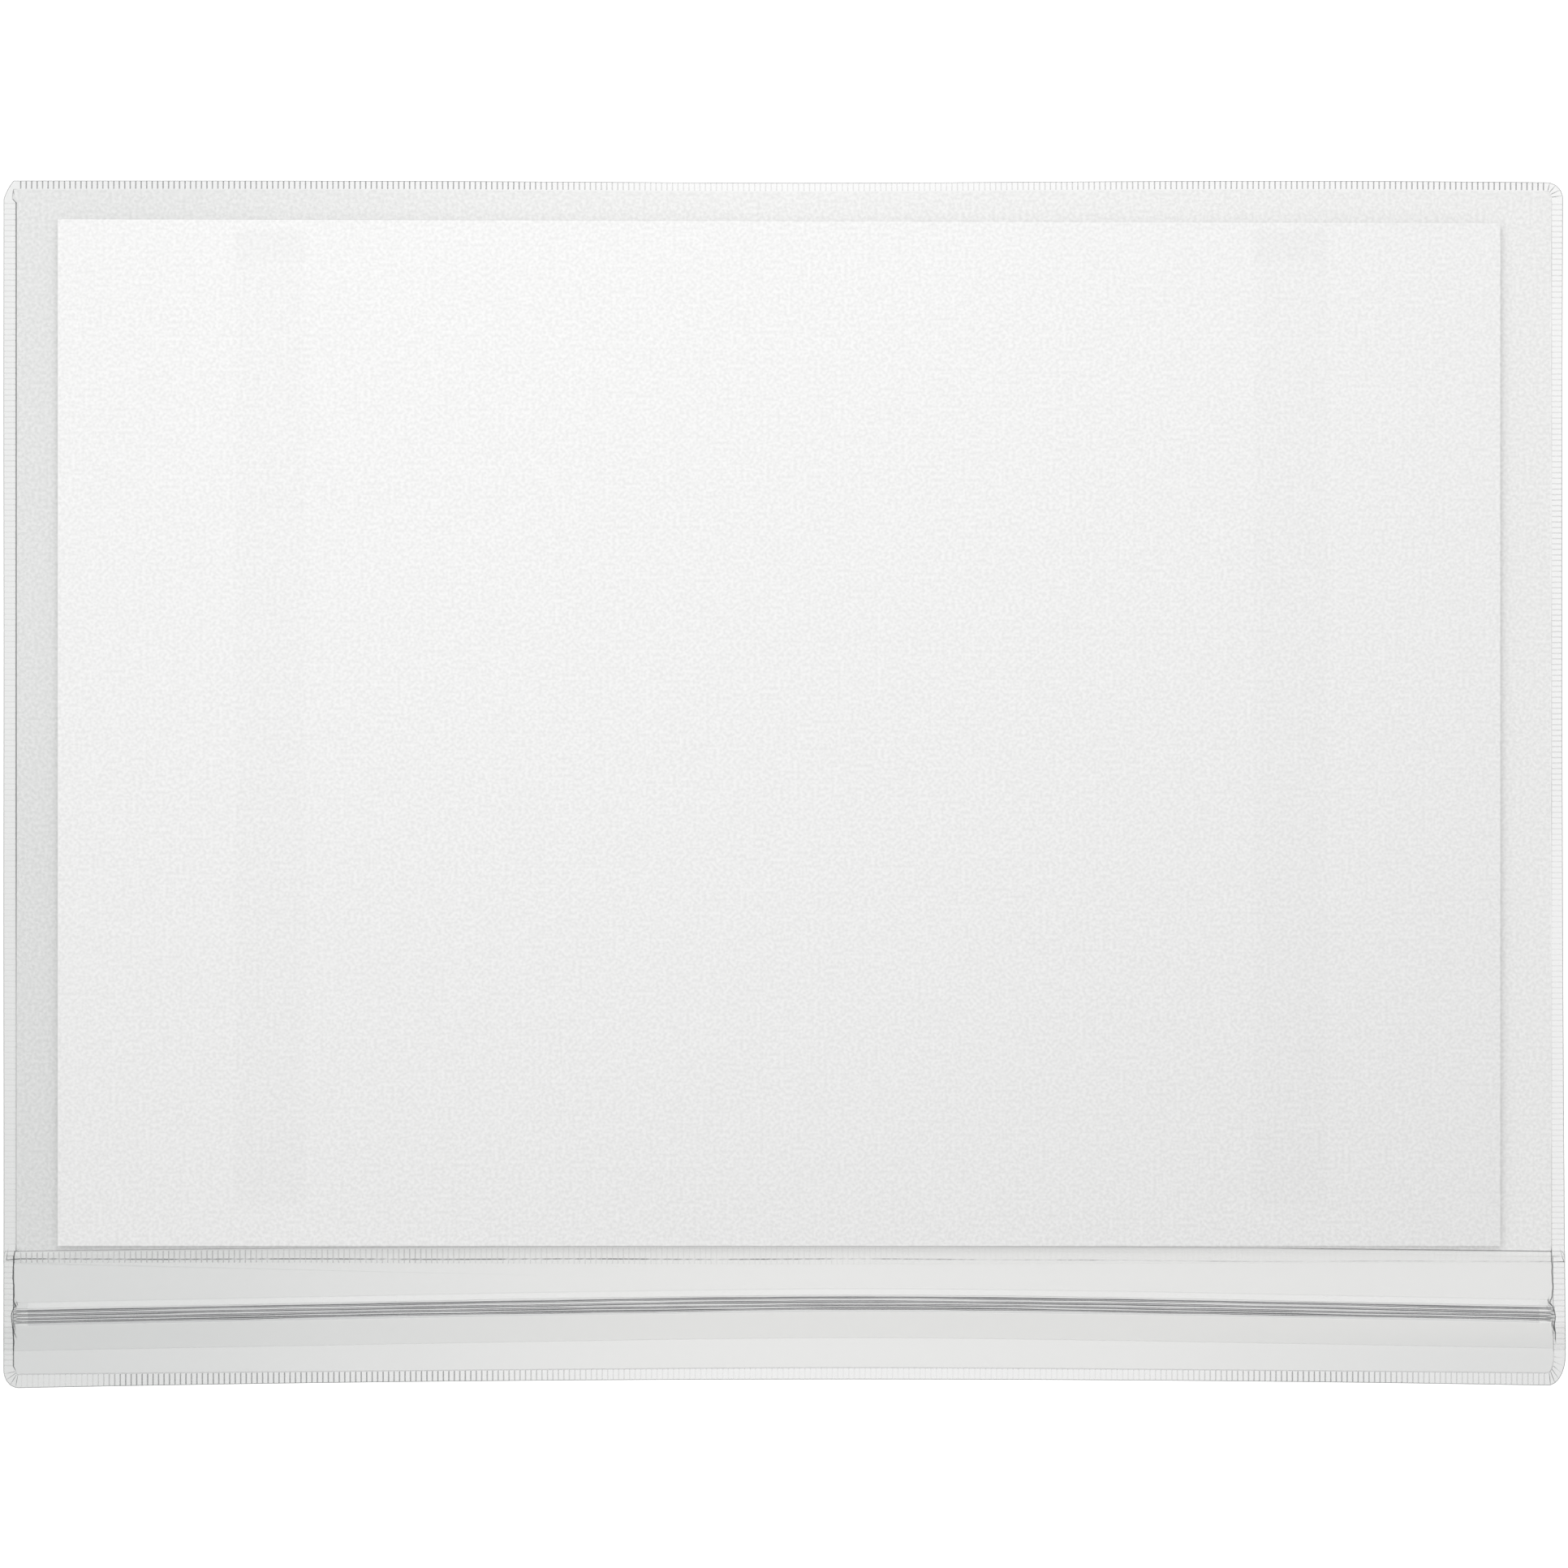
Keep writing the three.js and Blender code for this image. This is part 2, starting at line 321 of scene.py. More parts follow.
def show_through(tree, spot, colour):
    """The dark strips behind the sheet, showing faintly through the paper."""
    parts = node(tree, "ShaderNodeSeparateXYZ")
    tree.links.new(spot, parts.inputs[0])

    def inside(value, low, high, soft):
        rise = ramp(tree, value, (low - soft) * MM, (low + soft) * MM, 0, 1)
        fall = ramp(tree, value, (high - soft) * MM, (high + soft) * MM, 1, 0)
        return math_node(tree, "MULTIPLY", rise, fall)

    low, high = STRIP_Y
    along = inside(parts.outputs["Y"], low, high, 0.5)
    bare = inside(parts.outputs["Y"], high - TAPE_SHORT, high, 0.5)
    foot = inside(parts.outputs["Y"], low, low + 15, 0.8)
    strength = math_node(tree, "MULTIPLY", along, 0.014)
    strength = math_node(tree, "ADD", strength, math_node(tree, "MULTIPLY", bare, 0.02))
    strength = math_node(tree, "ADD", strength, math_node(tree, "MULTIPLY", foot, 0.008))
    left, right = [inside(parts.outputs["X"], *limits, 0.5) for limits in STRIPS]
    across = math_node(tree, "ADD", left, right)
    return colour_mix(tree, math_node(tree, "MULTIPLY", across, strength), colour, grey(0))


def grey(level):
    return (level, level, level)


ALL = grey(0.998)
CLEAR = film_material("clear_film", 0.02, ALL, ALL)
# where sides passes less than middle, that difference is painted shade towards the left side and lower right
# corner
REAR = film_material("zip_rear_clear_film", 0.02, (0.955, 0.955, 0.952), (0.95, 0.952, 0.952))
LOWER = film_material("zip_lip_film", 0.03, (0.945, 0.945, 0.942), (0.94, 0.942, 0.942))
LAND = film_material("zip_land_film", 0.04, (0.87, 0.87, 0.88), (0.84, 0.84, 0.85))
# The back film and its weld band pass much less light: partly the film's own absorption and partly a painted
# shadow of the films on the floor, which they don't throw here
BACK = film_material("back_clear_film", 0.05, (0.729, 0.729, 0.725), (0.606, 0.613, 0.611), edge=0.75)
WELD = film_material("welded_clear_film", 0.05, grey(0.75), (0.625, 0.632, 0.63), edge=0.75)
GRAINED = film_material("grained_film", 0.04, grey(0.895), grey(1), grain=0.3)
# the rails' steep faces are almost wholly dark: partly thicker film, partly painted shade
RAIL = film_material("zip_rail_film", 0.1, ALL, ALL, edge=0.97)
# A light milky band on the strip just above the rails: a painted highlight
PAINTED_GLEAM = film_material("zip_painted_gleam_film", 0.24, ALL, ALL, milk=0.92)
INNER = inner_material()
PAPER_DARK, PAPER_LIGHT = (0.88, 0.88, 0.877), (0.89, 0.89, 0.888)
WHITE = solid_material("white_paper", PAPER_DARK, PAPER_LIGHT, 300, 0.85, 0.004, 2500, show_through)
RUBBER_DARK, RUBBER_LIGHT = (0.028, 0.024, 0.022), (0.05, 0.045, 0.042)
MAGNET = solid_material("magnet_rubber", RUBBER_DARK, RUBBER_LIGHT, 120, 0.7, 0.03, 1500)
TAPE = solid_material("white_tape", (0.66, 0.64, 0.58), (0.74, 0.72, 0.67), 90, 0.55, 0.02, 900)


# Mesh building


def make_piece(name, verts, faces, material, others=()):
    """A mesh object; others lists further materials, each with the faces that wear it."""
    mesh = bpy.data.meshes.new(name)
    mesh.from_pydata([(x * MM, y * MM, z * MM) for x, y, z in verts], [], faces)
    mesh.materials.append(material)
    for other, indices in others:
        mesh.materials.append(other)
        for index in indices:
            mesh.polygons[index].material_index = len(mesh.materials) - 1
    mesh.update()
    piece = bpy.data.objects.new(name, mesh)
    bpy.context.collection.objects.link(piece)
    return piece


def finish_piece(piece, node_name, slot):
    """Tie the piece to its node; a clear film throws no shadow and no bounced light."""
    if slot.endswith("film"):
        piece.visible_shadow = False
        piece.visible_diffuse = False
    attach(piece, "root")
    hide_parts(node_name)


def fill_panel(verts, faces, ring, upwards):
    """Close a flat loop with ever coarser loops inside it, so that no face is a long sliver."""
    z = verts[ring[0]][2]
    xs = [verts[i][0] for i in ring]
    ys = [verts[i][1] for i in ring]
    middle_x, middle_y = (min(xs) + max(xs)) / 2, (min(ys) + max(ys)) / 2
    half_x, half_y = (max(xs) - min(xs)) / 2, (max(ys) - min(ys)) / 2
    step = 8
    for inset in (1.5, 9):
        if len(ring) < 4 * step:
            break
        inset = min(inset, half_y / 3)
        inside = []
        for k in range(0, len(ring), step):
            x, y, _ = verts[ring[k]]
            inside.append(len(verts))
            x = middle_x + (x - middle_x) * (1 - inset / half_x)
            y = middle_y + (y - middle_y) * (1 - inset / half_y)
            verts.append((x, y, z))
        for n, k in enumerate(range(0, len(ring), step)):
            face = [ring[m % len(ring)] for m in range(k, min(k + step, len(ring)) + 1)]
            face += [inside[(n + 1) % len(inside)], inside[n]]
            faces.append(tuple(face) if upwards else tuple(reversed(face)))
        ring = inside
    faces.append(tuple(ring) if upwards else tuple(reversed(ring)))


def closed_rows(rows):
    """Faces between rows that each run once round a loop, with a flat panel inside the first and last row."""
    count = len(rows[0])
    verts = [point for row in rows for point in row]
    faces = []
    for r in range(len(rows) - 1):
        for i in range(count):
            j = (i + 1) % count
            faces.append((r * count + i, r * count + j, (r + 1) * count + j, (r + 1) * count + i))
    sides = len(faces)
    fill_panel(verts, faces, list(range(count)), False)
    lower = list(range(sides, len(faces)))
    fill_panel(verts, faces, list(range((len(rows) - 1) * count, len(rows) * count)), True)
    upper = list(range(lower[-1] + 1, len(faces)))
    return verts, faces, lower, upper


def ticks(start, end, strength):
    """Places along one side and how deep the weld is pressed there, three places to a tick."""
    length = abs(end - start)
    way = 1 if end > start else -1
    count = int(length / TICK_PITCH)
    places = []
    for k in range(count):
        centre = (k + 0.5) * TICK_PITCH
        depth = strength(start + way * centre)
        for shift, part in ((-0.5, 0), (0, 1), (0.5, 0)):
            places.append((start + way * (centre + shift * TICK_WIDTH), depth * part))
    return places


class Loop:
    """Stations round a welded sheet: outer and inner point, and how strongly tick, line and middle line show.

    Each also has its levels, under and top, and across, how far the middle line lies from the outer edge.
    """

    def __init__(self):
        self.stations = []

    def add(self, outer, inner, tick=0.0, line=0.0, middle=0.0, under=None, top=None, across=0.0):
        self.stations.append((outer, inner, tick, line, middle, under, top, across))

    def corner(self, centre, outer_radii, inner_radii, start, line, levels, bulge=1.0, tick=0.0):
        """A quarter turn, anticlockwise; bulge below 1 flattens it towards a chamfer."""
        length = (outer_radii[0] + outer_radii[1]) * math.pi / 4
        count = max(int(length / TICK_PITCH), 2)
        reach = TICK_WIDTH / 2 / length
        turns = [(0.0, 0.0)]
        for k in range(count):
            middle = (k + 0.5) / count
            turns += [(middle - reach, 0.0), (middle, tick), (middle + reach, 0.0)]
        for t, depth in [*turns, (1.0, 0.0)]:
            angle = start + t * math.pi / 2
            c, s = math.cos(angle), math.sin(angle)
            c0, s0 = math.cos(start), math.sin(start)
            straight = (c0 * (1 - t) - s0 * t, s0 * (1 - t) + c0 * t)
            c, s = mix(straight[0], c, bulge), mix(straight[1], s, bulge)
            outer = (centre[0] + outer_radii[0] * c, centre[1] + outer_radii[1] * s)
            inner = (centre[0] + inner_radii[0] * c, centre[1] + inner_radii[1] * s)
            self.add(outer, inner, depth, line, 0.0, *levels)


def band_points(station, panel_under, panel_top):
    """Points across the weld band at one station, from the underside round the edge to the panel on top."""
    outer, inner, tick, line, middle, under, top, across = station
    dx, dy = inner[0] - outer[0], inner[1] - outer[1]
    width = math.hypot(dx, dy)
    dx, dy = dx / width, dy / width
    tick_gap, edge_drop = (0.55, 0.04) if across else (0.3, 0.17)

    def at(along, z):
        return (outer[0] + dx * along, outer[1] + dy * along, z)

    centre = across or width * 0.42
    half = min(LINE_HALF, width / 8)
    level = top - groove(tick, TICK_WIDTH / 2)
    dent = min(top - groove(middle, half), level - (0.04 if middle > 0.01 else 0))
    rise = min(0.5, width)
    ticks_end = width - tick_gap
    return (
        at(width + rise, panel_under),
        at(width - 0.1, under),
        at(0, under),
        at(0, top - edge_drop),
        at(EDGE_BEVEL, level),
        at(centre - half, level),
        at(centre, dent),
        at(centre + half, level),
        at(ticks_end, level),
        at(max(ticks_end + 0.06, width - 2 * LINE_HALF), top),
        at(width - LINE_HALF, top - groove(line, LINE_HALF)),
        at(width, top),
        at(width + rise, panel_top),
    )


def welded_sheet(name, loop, panel_under, panel_top, material, shown="top"):
    """A closed film: outer edge, pressed weld band with its ticks, pressed line, rise, and flat panel."""
    rows = list(zip(*[band_points(station, panel_under, panel_top) for station in loop.stations]))
    verts, faces, lower, upper = closed_rows(rows)
    count = len(rows[0])
    if shown == "top":
        band = range(3 * count, (len(rows) - 2) * count)
        others = [(INNER, [*lower, *range(2 * count)]), (CLEAR, band)]
    else:
        inside = range(4 * count, (len(rows) - 1) * count)
        others = [(INNER, [*upper, *inside]), (WELD, range(count, 2 * count))]
    return make_piece(name, verts, faces, material, others=others)


def top_right_corner(loop, levels, line, tick=0.0):
    """Add the corner and give the X at which the top side starts."""
    radius = 3.4
    centre = (right_edge(CORNER_Y) - radius, CORNER_Y)
    reach = top_edge(centre[0]) - CORNER_Y
    inner = (radius - SIDE_WELD, reach - TOP_WELD)
    loop.corner(centre, (radius, reach), inner, 0, line, levels, tick=tick)
    return centre[0]


def top_left_corner(loop, levels, line):
    centre = (left_edge(CORNER_Y) + 2.1, CORNER_Y)
    reach = top_edge(centre[0]) - CORNER_Y
    loop.corner(centre, (2.1, reach), (0.15, reach - TOP_WELD), math.pi / 2, line, levels, bulge=0.3)


# Front film: welded along the top and both sides and, at its foot, onto the front strip of the zip


def front_film():
    loop = Loop()
    side_levels = (BACK_TOP + AIR, BACK_TOP + AIR + FILM - 0.04)
    seam_levels = (SEAM_UNDER, SEAM_UNDER + FILM - 0.04)
    left, right = -HALF_WIDTH + SIDE_WELD + 0.2, HALF_WIDTH - SIDE_WELD - 0.1

    def seam_strength(x):
        return mix(0.52, 0.06, smooth(-130, 70, x)) * (0.8 + 0.2 * wobble(x / 7))

    def middle_strength(x):
        uneven = 0.75 + 0.3 * wobble(x / 5, 2) + 0.2 * math.sin(x * 2.8)
        return mix(1.0, 0.4, smooth(-80, 90, x)) * uneven

    def upper_line(x):
        return mix(0.38, 0.05, smooth(-140, -20, x)) + 0.55 * smooth(92, 112, x)

    seam_start, seam_end = (left_edge(SEAM_Y), seam_foot(left)), (right_edge(SEAM_Y), seam_foot(right))
    loop.add(seam_start, (left, seam_top(left)), 0, 0.7, 0.9, *seam_levels, 0.9)
    for x, tick in ticks(left + 0.3, right - 0.3, seam_strength):
        dash = seam_dash(x) - seam_foot(x)
        outer, inner = (x, seam_foot(x)), (x, seam_top(x))
        loop.add(outer, inner, tick, upper_line(x), middle_strength(x), *seam_levels, dash)
    loop.add(seam_end, (right, seam_top(right)), 0, 0.6, 0.4, *seam_levels, 0.4)

    def right_strength(y):
        return mix(0.24, 0.33, smooth(-60, 40, y)) + 0.06 * wobble(y / 20)

    for y, tick in ticks(seam_top(right) + 0.6, CORNER_Y, right_strength):
        line = 0.28 + 0.12 * wobble(y / 15, 1)
        loop.add((right_edge(y), y), (right, y), tick, line, 0, *side_levels)
    top_start = top_right_corner(loop, side_levels, 0.3, tick=0.24)

    def top_strength(x):
        return mix(1.0, 0.3, smooth(-100, -10, x)) + 0.28 * smooth(30, 90, x) + 0.12 * smooth(110, 145, x)

    for x, tick in ticks(top_start - 0.1, left_edge(CORNER_Y) + 2.2, top_strength):
        y = top_edge(x)
        loop.add((x, y), (x, y - TOP_WELD), tick, 0.12, 0, *side_levels)
    top_left_corner(loop, side_levels, 0.4)

    def left_strength(y):
        return mix(0.16, 0.28, smooth(0, 90, y))

    for y, tick in ticks(CORNER_Y - 0.4, seam_top(left) + 0.6, left_strength):
        line = mix(0.45, 1.0, smooth(-60, 20, y))
        loop.add((left_edge(y), y), (left, y), tick, line, 0, *side_levels)
    return welded_sheet("grained_front_film", loop, PANEL_UNDER, PANEL_UNDER + FILM, GRAINED)


# Back film and the rear strip of the zip share the foot of the outline


def foot_side(loop, levels, tick_scale, line_scale, upper_y):
    """Left side down, both lower corners, the foot and the right side up, anticlockwise."""

    def side_strength(_):
        return tick_scale * 0.3

    def foot_strength(x):
        strong = mix(0.22, 0.75, smooth(-147, -130, x))
        strong -= 0.57 * smooth(-90, -10, x)
        return tick_scale * (strong + 0.44 * smooth(60, 110, x) - 0.25 * smooth(112, 140, x))

    tick_in_corner = 0.17 * tick_scale
    left_corner = (left_edge(LOWER_CORNER_Y) + 3.1, foot_edge(-157) + 3.6)
    for y, tick in ticks(upper_y, left_corner[1] + 0.4, side_strength):
        x = left_edge(y)
        loop.add((x, y), (x + SIDE_WELD - 0.35, y), tick, 0.9 * line_scale, 0, *levels)
    line = 0.4 * line_scale
    loop.corner(left_corner, (3.1, 3.6), (0.45, 0.7), math.pi, line, levels, tick=tick_in_corner)
    right_corner = (right_edge(LOWER_CORNER_Y) - 3.6, foot_edge(156) + 6.4)
    for x, tick in ticks(left_corner[0] + 0.1, right_corner[0] - 0.1, foot_strength):
        y = foot_edge(x)
        loop.add((x, y), (x, max(foot_weld(x), y + 1.4)), tick, 0.42 * line_scale, 0, *levels)
    line = 0.35 * line_scale
    loop.corner(right_corner, (3.6, 6.4), (1.0, 3.6), -math.pi / 2, line, levels, tick=tick_in_corner)
    for y, tick in ticks(right_corner[1] + 0.4, upper_y, side_strength):
        x = right_edge(y)
        loop.add((x, y), (x - SIDE_WELD - 0.1, y), tick, 0.5 * line_scale, 0, *levels)


def rear_strip():
    loop = Loop()
    levels = (REAR_UNDER, REAR_TOP - 0.03)
    foot_side(loop, levels, 1.0, 1.0, seam_top(HALF_WIDTH) - 0.5)
    steps = 60
    for k in range(steps + 1):
        x = mix(HALF_WIDTH - 0.3, -HALF_WIDTH + 0.3, k / steps)
        y = seam_top(x)
        loop.add((x, y), (x * 0.997, y - 0.9), 0, 0, 0, REAR_UNDER, REAR_TOP)
    return welded_sheet("zip_rear_film", loop, REAR_UNDER, REAR_TOP, REAR)


def back_film():
    loop = Loop()
    levels = (BACK_UNDER, BACK_TOP - 0.03)
    foot_side(loop, levels, 0.0, 0.35, CORNER_Y)
    top_start = top_right_corner(loop, levels, 0.1)
    steps = 80
    for k in range(steps + 1):
        x = mix(top_start - 0.3, left_edge(CORNER_Y) + 2.4, k / steps)
        loop.add((x, top_edge(x)), (x, top_edge(x) - TOP_WELD), 0, 0.1, 0, *levels)
    top_left_corner(loop, levels, 0.1)
    return welded_sheet("back_film_sheet", loop, BACK_UNDER, BACK_TOP, BACK, shown="under")


# Front strip of the zip: welded at the seam and both sides, lifted over the rails, with a free lip


PRESS_LINE = SIDE_WELD - 0.12


def strip_lines():
    """Lines across the strip: where each runs, its lift, what is added to its top, and the film below it."""
    base_step, bead = 0.1, 0.08
    return (
        (seam_top, 0.0, 0.0, CLEAR),
        (lambda x: seam_top(x) - 1.2, 0.0, 0.0, CLEAR),
        (lambda x: seam_foot(x) - 0.1, 0.02, 0.0, CLEAR),
        (lambda x: mix(seam_foot(x), zip_line(x) + 3.1, 0.35), 0.3, 0.0, CLEAR),
        (lambda x: mix(seam_foot(x), zip_line(x) + 3.1, 0.7), 0.72, 0.0, CLEAR),
        (lambda x: zip_line(x) + 3.1, 0.95, 0.0, CLEAR),
        (lambda x: zip_line(x) + 3.0, 0.96, bead, CLEAR),
        # painted highlight band just above the rails
        (lambda x: zip_line(x) + 2.9, 0.97, 0.0, PAINTED_GLEAM),
        (lambda x: zip_line(x) + 1.7, 1.0, 0.0, CLEAR),
        (lambda x: zip_line(x) + 1.5, 1.0, base_step, LAND),
        (lambda x: zip_line(x) - 1.75, 1.0, base_step, CLEAR),
        (lambda x: zip_line(x) - 1.9, 1.0, 0.0, LOWER),
        (lambda x: mix(zip_line(x) - 1.9, lip_line(x), 0.35), 0.86, 0.0, LOWER),
        (lambda x: mix(zip_line(x) - 1.9, lip_line(x), 0.7), 0.62, 0.0, LOWER),
        (lambda x: lip_line(x) + 0.2, 0.5, 0.0, LOWER),
        (lip_line, 0.49, -0.14, LOWER),
    )


def strip_rows(lines):
    """Rows from the seam to the lip, half a tick apart between one line and the next."""
    rows = []
    for (line_a, lift_a, add_a, film), (line_b, lift_b, add_b, _) in zip(lines, lines[1:]):
        steps = max(int((line_a(-HALF_WIDTH) - line_b(-HALF_WIDTH)) / (TICK_PITCH / 2)), 1)
        for m in range(steps):
            t = m / steps
            rows.append((line_a, line_b, t, mix(lift_a, lift_b, smooth(0, 1, t)), mix(add_a, add_b, t), film))
    last, lift, add, film = lines[-1]
    rows.append((last, last, 0.0, lift, add, film))
    return rows


def strip_columns():
    """Places along the strip: distances from the left and the right side, and X in between."""
    from_side = [0.0, EDGE_BEVEL, SIDE_WELD - 0.24, PRESS_LINE]
    from_side += [SIDE_WELD + past for past in (0.0, 0.25, 0.6, 1.2, 2.2)]
    steps = 90
    start = HALF_WIDTH - SIDE_WELD - 2.6
    columns = [("left", offset) for offset in from_side]
    columns += [("middle", mix(-start, start, k / steps)) for k in range(steps + 1)]
    return columns + [("right", offset) for offset in reversed(from_side)]


def strip_side_x(side, offset, y):
    """X of a place this far from one side, where the welded film waves and is pulled in at the zip."""
    from_zip = y - zip_line(HALF_WIDTH)
    wave = 0.16 * wobble(y / 1.9, 0.4 if side == "left" else 2.2)
    wave += 0.4 * math.exp(-(((from_zip - 1.9) / 0.6) ** 2))
    wave -= 0.45 * math.exp(-(((from_zip + 0.4) / 1.3) ** 2))
    share = smooth(1.2, SIDE_WELD, offset)
    if side == "left":
        return left_edge(y) + offset + share * (wave - 0.35 * smooth(-95, -100, y))
    return right_edge(y) - offset - share * (wave - mix(-0.3, 0.15, smooth(0.5, -2, from_zip)))


def strip_point(row, column):
    """X, Y, the height of the underside and the height of the top at one place of the strip."""
    line_a, line_b, t, lift, add, _ = row
    side, x = column
    offset = x
    if side != "middle":
        x = strip_side_x(side, offset, mix(line_a(-HALF_WIDTH), line_b(-HALF_WIDTH), t))
    y = mix(line_a(x), line_b(x), t)
    if side == "middle":
        z = STRIP_UNDER + LAND_LIFT * lift
        return x, y, z, z + FILM + add
    # the film is drawn tight down to the weld just above and below the rails
    from_zip = y - zip_line(x)
    tight = math.exp(-(((from_zip - 2.4) / 0.7) ** 2)) + math.exp(-(((from_zip + 2.9) / 1.3) ** 2))
    free = smooth(SIDE_WELD - 0.05, SIDE_WELD + mix(1.4, 0.45, min(tight, 1)), offset)
    pressed = 0.19 if offset == PRESS_LINE else 0.0
    if side == "right":
        pressed *= mix(0.3, 1.0, smooth(-6.2, -4.8, from_zip))
    edge = 0.1 if offset == 0.0 else 0.0
    z = STRIP_UNDER + LAND_LIFT * lift * free
    return x, y, z, z + FILM + add * free - pressed - edge


def front_strip():
    rows, columns = strip_rows(strip_lines()), strip_columns()
    places = [strip_point(row, column) for row in rows for column in columns]
    verts = [(x, y, top) for x, y, _, top in places] + [(x, y, under) for x, y, under, _ in places]
    wide, high, count = len(columns), len(rows), len(places)
    faces = []
    worn = {film: [] for film in (LOWER, LAND, PAINTED_GLEAM, INNER)}
    for r in range(high - 1):
        film = rows[r][-1]
        for c in range(wide - 1):
            a, b = r * wide + c, r * wide + c + 1
            in_middle = columns[c][0] == columns[c + 1][0] == "middle"
            if film is LOWER or (film is not CLEAR and in_middle):
                worn[film].append(len(faces))
            faces.append((a, a + wide, b + wide, b))
            worn[INNER].append(len(faces))
            faces.append((count + a, count + b, count + b + wide, count + a + wide))
    for c in range(wide - 1):
        last = (high - 1) * wide
        faces.append((c, c + 1, count + c + 1, count + c))
        faces.append((last + c + 1, last + c, count + last + c, count + last + c + 1))
    for r in range(high - 1):
        a, b = r * wide, (r + 1) * wide
        faces.append((b, a, count + a, count + b))
        faces.append((a + wide - 1, b + wide - 1, count + b + wide - 1, count + a + wide - 1))
    return make_piece("zip_front_film", verts, faces, CLEAR, others=list(worn.items()))


# Rails of the zip: narrow steep ridges, two on each strip, crushed flat at the side welds

RAIL_SPACING = 0.75
RAIL_HEIGHT = 0.7
SHELF_HEIGHT = 0.16
RAIL_SIDE = ((0.24, 0.0), (0.21, 0.2), (0.145, 0.5), (0.05, RAIL_HEIGHT))
RAIL_SECTION = [(-shift, up) for shift, up in RAIL_SIDE] + [*reversed(RAIL_SIDE)]


def rail_section(x, end, offset, seed, low):
    """Y and height of each point of a rail's section at this X; a low one is flatter."""
    from_end = end - abs(x)
    crushed = 1 - smooth(0.0, 1.4, from_end)
    width = 1 + 0.18 * wobble(x / 11, seed * 1.3 + offset) + 0.9 * crushed
    height = mix(1.0, 0.45, crushed)
    if low:
        width, height = 0.8, SHELF_HEIGHT
    drift = crushed * 0.35 * wobble(from_end * 2.2, seed + 3 * math.copysign(1, x))
    middle = zip_line(x) + offset + drift + 0.05 * wobble(x / 17, seed * 2.1)
    return [(middle + shift * width, up * height) for shift, up in RAIL_SECTION]


def rails(name, offsets, root, direction, shelf=0.0):
    """Parallel ridges; shelf adds one more, low and soft, at that distance from the zip line."""
    verts, faces = [], []
    steps = 320
    end = HALF_WIDTH - SIDE_WELD + 0.6
    across = len(RAIL_SECTION)
    offsets = [*offsets, shelf] if shelf else offsets
    for index, offset in enumerate(offsets):
        first = len(verts)
        for k in range(steps + 1):
            x = mix(-end, end, k / steps)
            for y, up in rail_section(x, end, offset, index, offset == shelf):
                verts.append((x, y, root + direction * up))
        for k in range(steps):
            a = first + k * across
            quads = [(a + m, a + across + m, a + across + m + 1, a + m + 1) for m in range(across - 1)]
            quads.append((a, a + across - 1, a + 2 * across - 1, a + across))
            faces += [quad if direction > 0 else quad[::-1] for quad in quads]
        for k, flip in ((0, direction < 0), (steps, direction > 0)):
            cap = tuple(first + k * across + m for m in range(across))
            faces.append(cap if not flip else cap[::-1])
    return make_piece(name, verts, faces, RAIL)


# Paper, magnet strips and tape


def paper_sheet():
    wide, high = 40, 30
    left, right, foot = -149.1, 147.2, -94.88
    top_left, top_right = 116.0, 115.2

    def place(u, v):
        top = mix(top_left, top_right, u)
        wave = 0.02 * math.sin(7 * u + 2 * v) * math.sin(5 * v + 1)
        return (mix(left, right, u), mix(foot, top, v), PAPER_UNDER + 0.03 + PAPER + wave)

    top = [place(i / wide, j / high) for j in range(high + 1) for i in range(wide + 1)]
    under = [(x, y, z - PAPER) for x, y, z in top]
    count = len(top)
    row = wide + 1
    faces = []
    for j in range(high):
        for i in range(wide):
            a = j * row + i
            faces.append((a, a + 1, a + row + 1, a + row))
            faces.append((count + a, count + a + row, count + a + row + 1, count + a + 1))
    for i in range(wide):
        a = high * row + i
        faces.append((i, count + i, count + i + 1, i + 1))
        faces.append((a + 1, count + a + 1, count + a, a))
    for j in range(high):
        a, b = j * row, j * row + wide
        faces.append((a + row, count + a + row, count + a, a))
        faces.append((b, count + b, count + b + row, b + row))
    return make_piece("paper_insert", top + under, faces, WHITE)


def rounded_bar(name, box, radius, bevel, material):
    """A flat bar with small rounded corners and softened upper and lower edges."""
    (x0, x1), (y0, y1), (z0, z1) = box
    arc = 5

    def ring(inset, z):
        points = []
        r = max(radius - inset, 0.05)
        for cx, cy, start in ((x1, y0, -90), (x1, y1, 0), (x0, y1, 90), (x0, y0, 180)):
            px = cx - math.copysign(inset + r, cx - (x0 + x1) / 2)
            py = cy - math.copysign(inset + r, cy - (y0 + y1) / 2)
            for k in range(arc + 1):
                angle = math.radians(start + 90 * k / arc)
                points.append((px + r * math.cos(angle), py + r * math.sin(angle), z))
        return points

    rows = [ring(bevel, z0), ring(0, z0 + bevel), ring(0, z1 - bevel), ring(bevel, z1)]
    verts, faces, _, _ = closed_rows(rows)
    return make_piece(name, verts, faces, material)


def strips_and_tape():
    low, high = STRIP_Y
    for name, limits in zip(("left", "right"), STRIPS):
        bar_box = (limits, (low, high), (0.0, BAR_HEIGHT - 0.01))
        bar = rounded_bar("magnet_bar_" + name, bar_box, 0.5, 0.08, MAGNET)
        finish_piece(bar, "magnet_strip_" + name, "magnet_rubber")
        tape_box = (limits, (low, high - TAPE_SHORT), (BAR_HEIGHT, BAR_HEIGHT + TAPE_HEIGHT + 0.01))
        tape = rounded_bar("tape_layer_" + name, tape_box, 0.3, 0.02, TAPE)
        finish_piece(tape, "adhesive_tape_" + name, "white_tape")


# Put the pocket together

